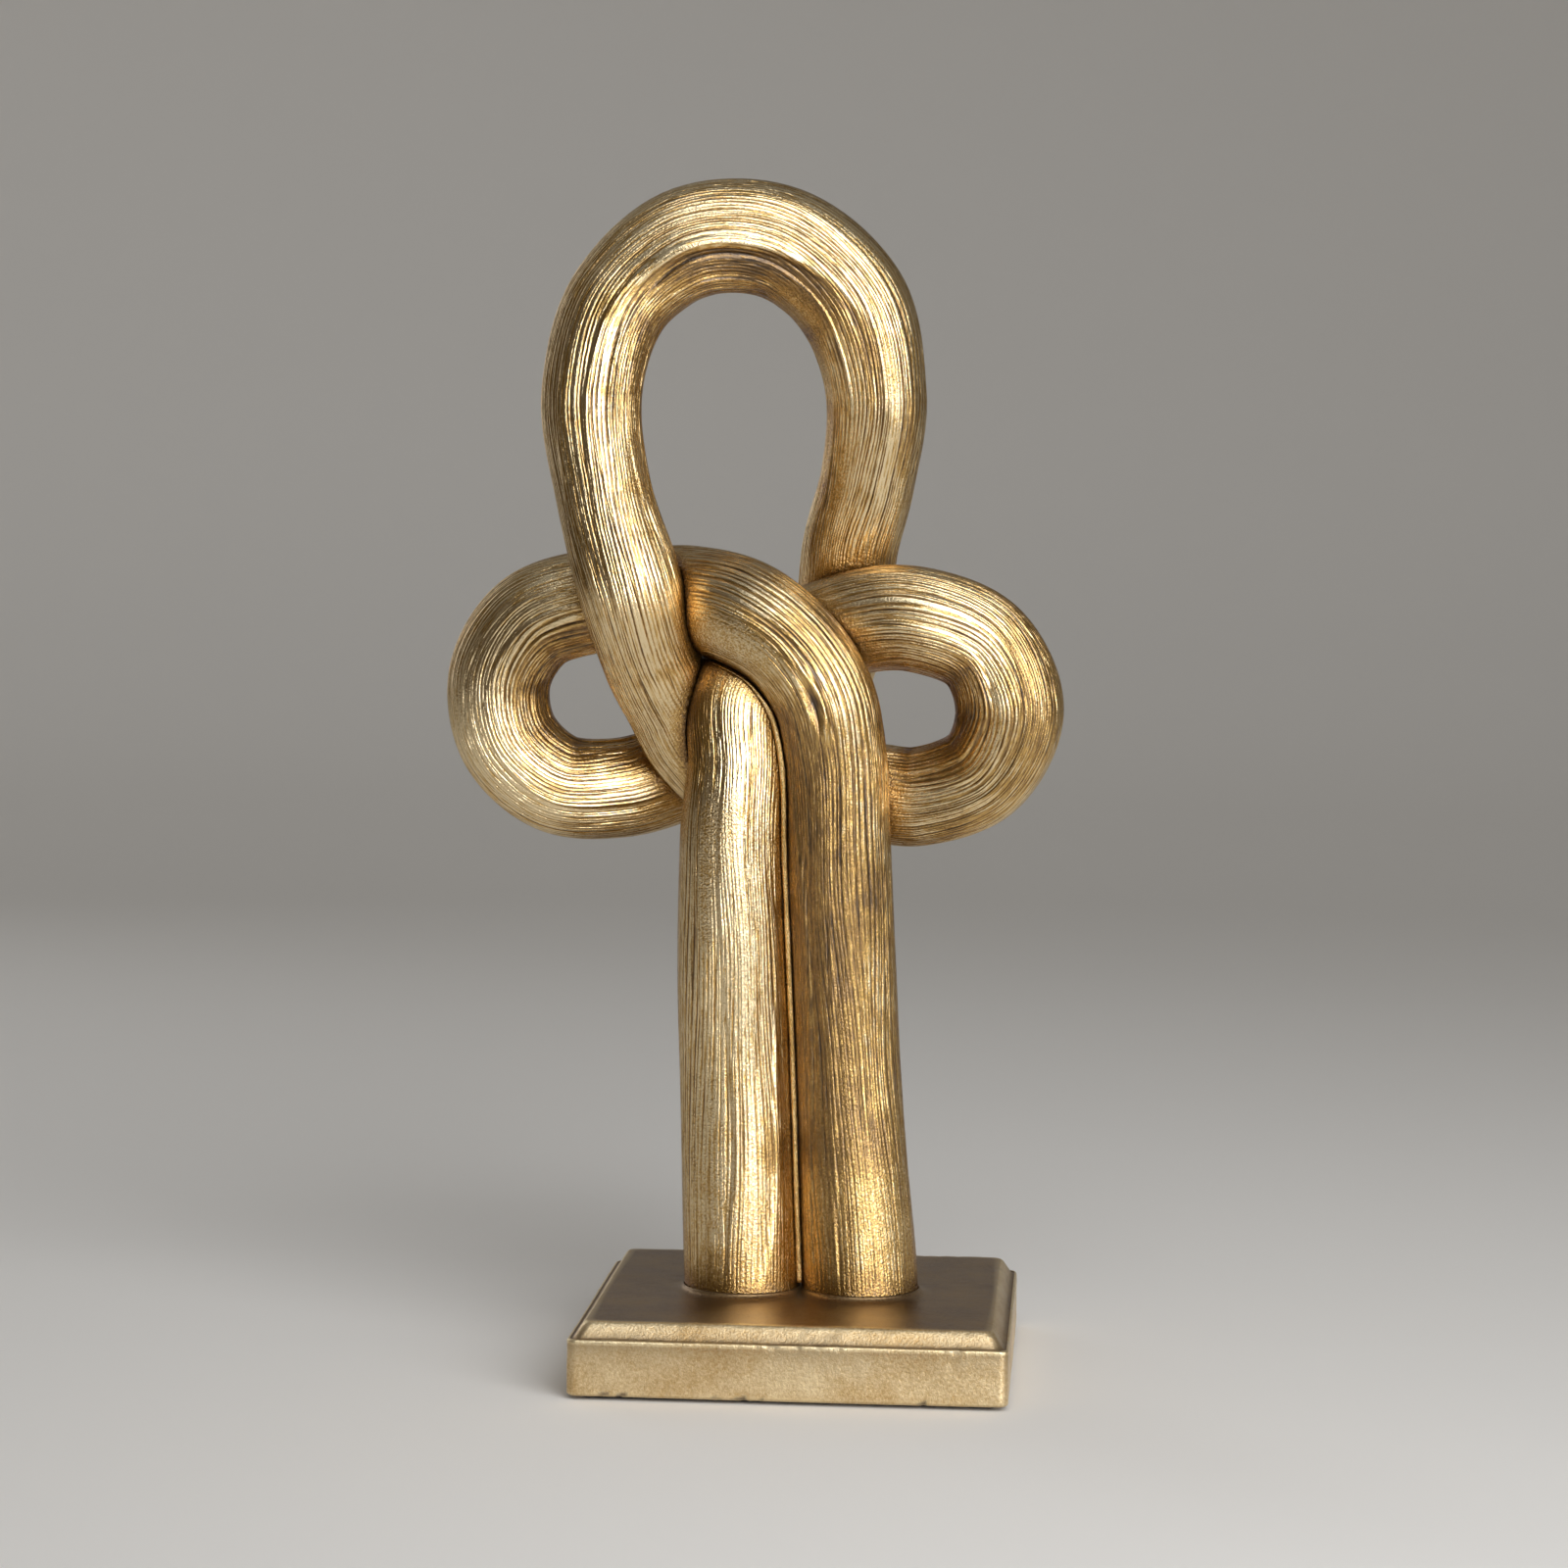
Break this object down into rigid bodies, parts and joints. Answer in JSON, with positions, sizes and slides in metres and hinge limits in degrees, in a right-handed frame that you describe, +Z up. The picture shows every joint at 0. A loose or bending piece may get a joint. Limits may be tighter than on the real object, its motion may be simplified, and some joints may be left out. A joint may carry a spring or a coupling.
{
  "type": "knot sculpture",
  "caption": "Free-standing gilt knot sculpture: one thick combed strand rises from a moulded square plinth, ties a tall loop and two side loops, and returns to the plinth.",
  "frame": {"origin": "centre of the felt's underside, on the surface that the sculpture stands on", "axes": "+Z up, +X to the viewer's right, front towards -Y"},
  "size_m": [0.2049, 0.14, 0.3897],
  "materials": {
    "gilt_strand": "gold-leaf paint over combed casting resin, dark wash in the grooves",
    "gilt_plinth": "satin gold paint over smooth casting resin",
    "steel": "zinc plated",
    "felt": "pressed wool felt"
  },
  "bodies": {
    "root": {"base_felt": "felt", "plinth": "gilt_plinth", "right_leg": "gilt_strand", "left_loop": "gilt_strand", "tall_loop": "gilt_strand", "right_loop": "gilt_strand", "left_leg": "gilt_strand", "groove_bead": "gilt_strand", "arch_dowel": "steel", "riser_dowel": "steel", "tail_dowel": "steel", "left_arch_dowel": "steel", "right_stud": "steel", "right_washer": "steel", "right_nut": "steel", "left_stud": "steel", "left_washer": "steel", "left_nut": "steel"}
  },
  "joints": []
}
